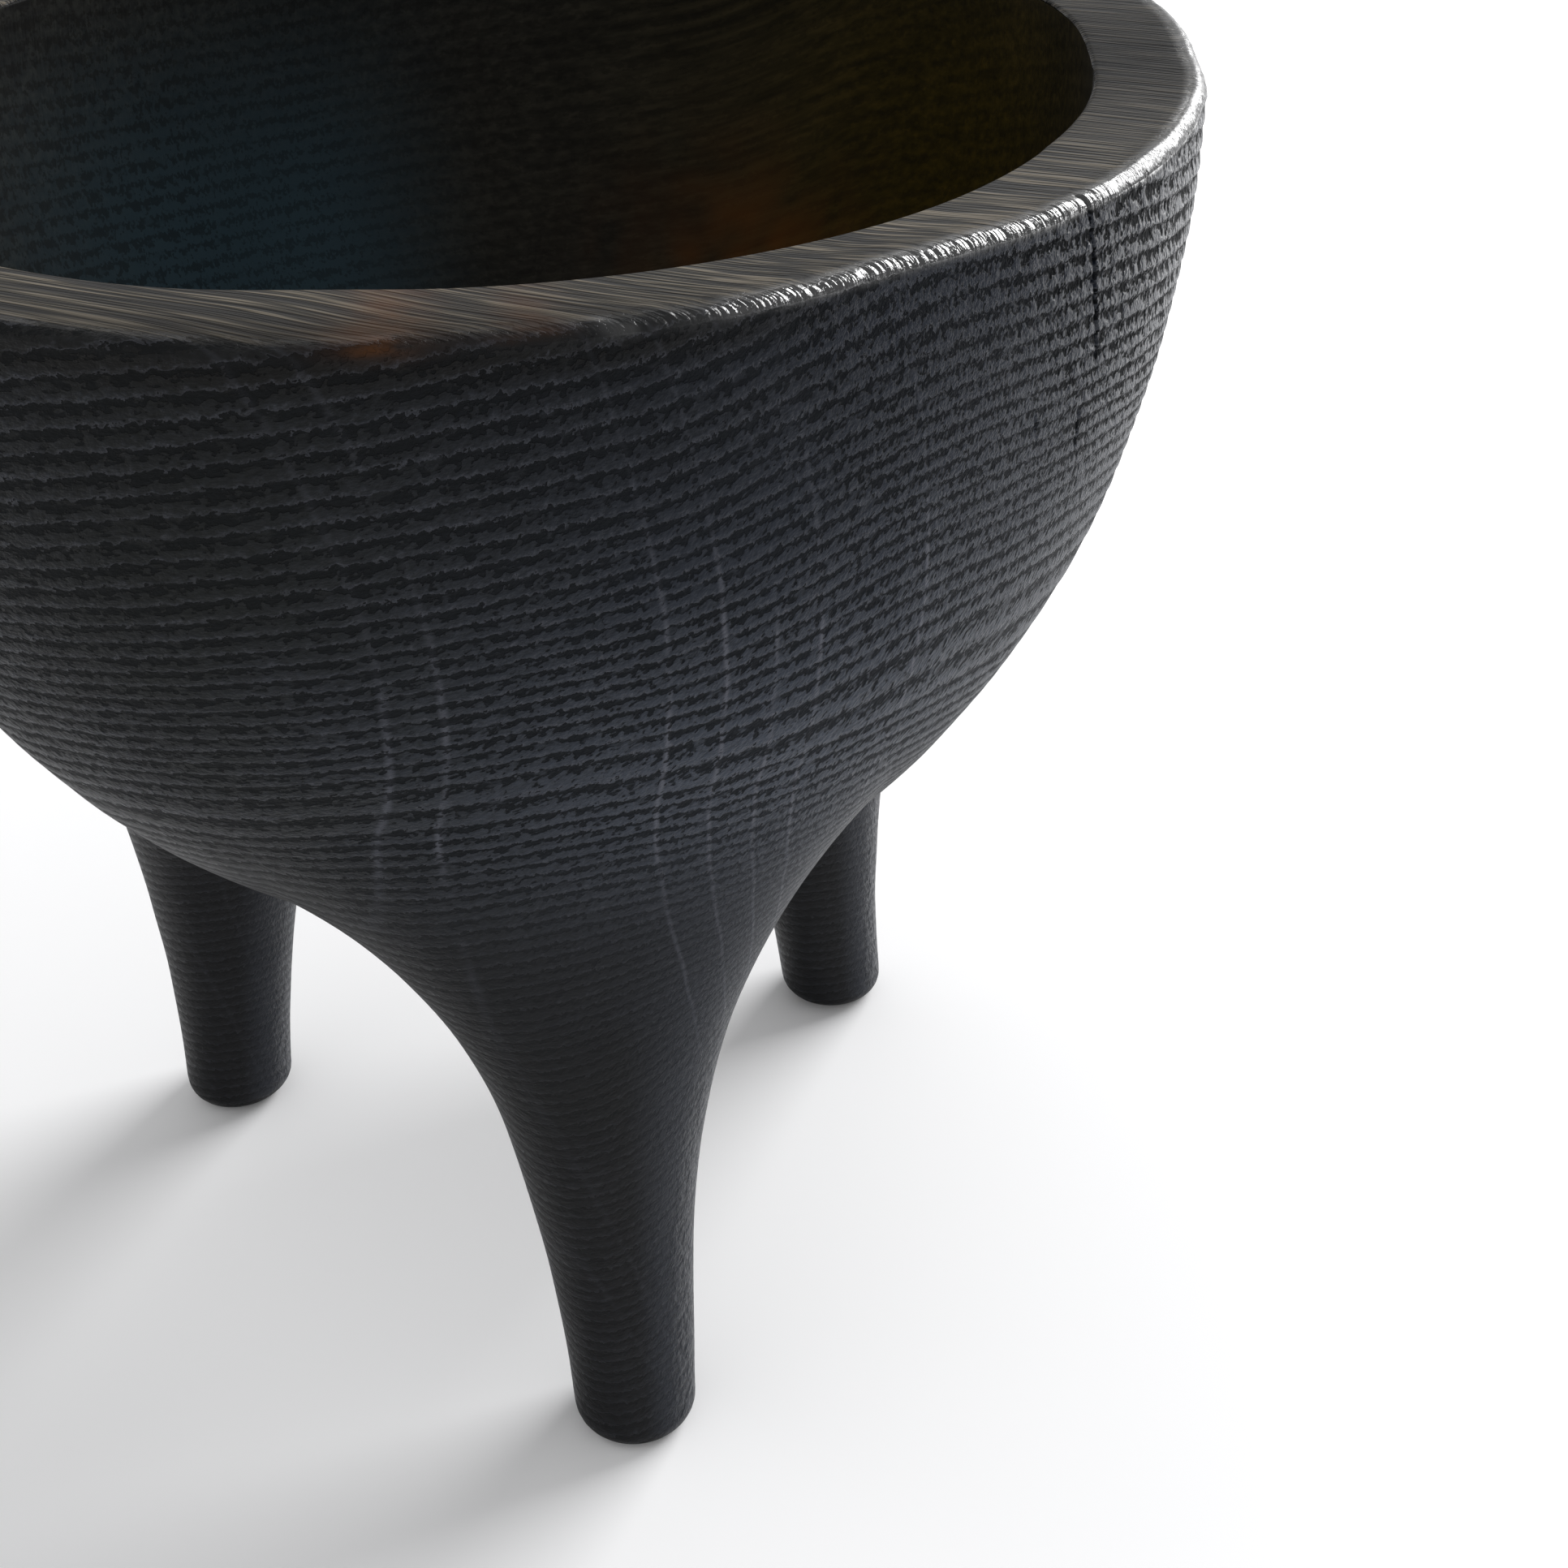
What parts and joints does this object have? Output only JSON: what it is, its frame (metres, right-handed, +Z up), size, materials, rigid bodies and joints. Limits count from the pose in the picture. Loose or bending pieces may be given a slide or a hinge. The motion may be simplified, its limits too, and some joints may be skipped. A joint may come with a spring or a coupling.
{
  "type": "three-legged bowl",
  "caption": "Deep round bowl with a flat rim on short splayed legs, carved whole from one block of blackened oak, for serving or display.",
  "frame": {"origin": "on the floor, under the middle of the bowl", "axes": "+Z up through the mouth of the bowl; the front leg stands towards -Y"},
  "size_m": [0.18, 0.18, 0.1725],
  "materials": {
    "blackened_oak": "satin, open grain, burnished on the rim's outer edge"
  },
  "bodies": {
    "root": {"vessel": "blackened_oak", "front_leg": "blackened_oak", "right_leg": "blackened_oak", "left_leg": "blackened_oak"}
  },
  "joints": []
}
